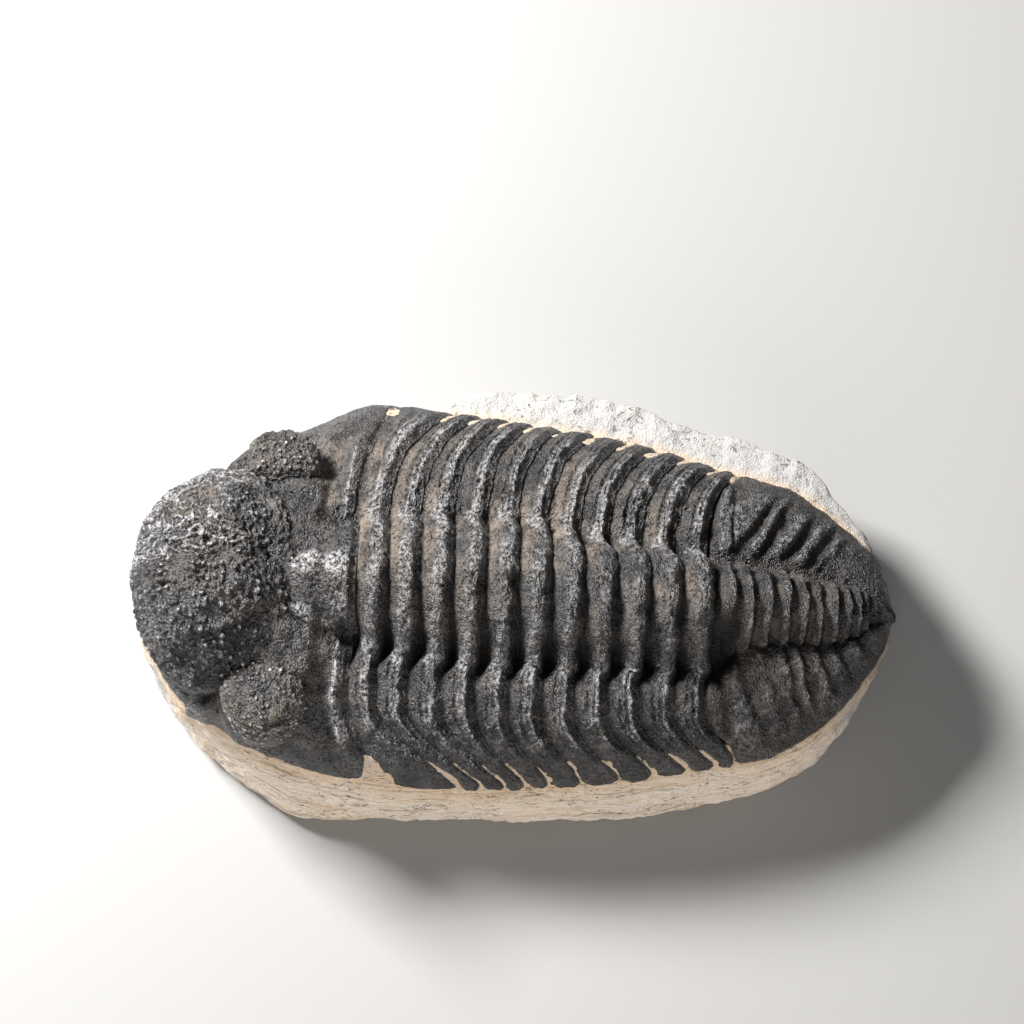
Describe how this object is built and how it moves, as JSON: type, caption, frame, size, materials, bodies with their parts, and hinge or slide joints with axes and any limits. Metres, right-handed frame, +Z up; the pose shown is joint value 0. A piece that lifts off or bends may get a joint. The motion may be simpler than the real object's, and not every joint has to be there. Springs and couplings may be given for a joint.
{
  "type": "phacopid trilobite fossil on limestone matrix",
  "caption": "Dark trilobite fossil, back up, with a domed head, tall eyes, ribbed thorax and tail shield, on a flat-bottomed block of pale limestone.",
  "frame": {"origin": "middle of the plan of the whole, on the flat underside of the stone", "axes": "+X from the head to the tail, +Y to the side with the wide stone ledge, +Z up, out of the trilobite's back"},
  "size_m": [0.1262, 0.0736, 0.0433],
  "materials": {
    "limestone": "rough cream limestone with fine dark grains",
    "fossil_head": "satin black mineralised shell, covered in small tubercles",
    "fossil_thorax": "satin black mineralised shell with tan dust in its furrows",
    "fossil_tail": "satin black mineralised shell"
  },
  "bodies": {
    "root": {"matrix_stone": "limestone", "cephalon": "fossil_head", "thoracic_segment_01": "fossil_thorax", "thoracic_segment_02": "fossil_thorax", "thoracic_segment_03": "fossil_thorax", "thoracic_segment_04": "fossil_thorax", "thoracic_segment_05": "fossil_thorax", "thoracic_segment_06": "fossil_thorax", "thoracic_segment_07": "fossil_thorax", "thoracic_segment_08": "fossil_thorax", "thoracic_segment_09": "fossil_thorax", "thoracic_segment_10": "fossil_thorax", "thoracic_segment_11": "fossil_thorax", "pygidium": "fossil_tail"}
  },
  "joints": []
}
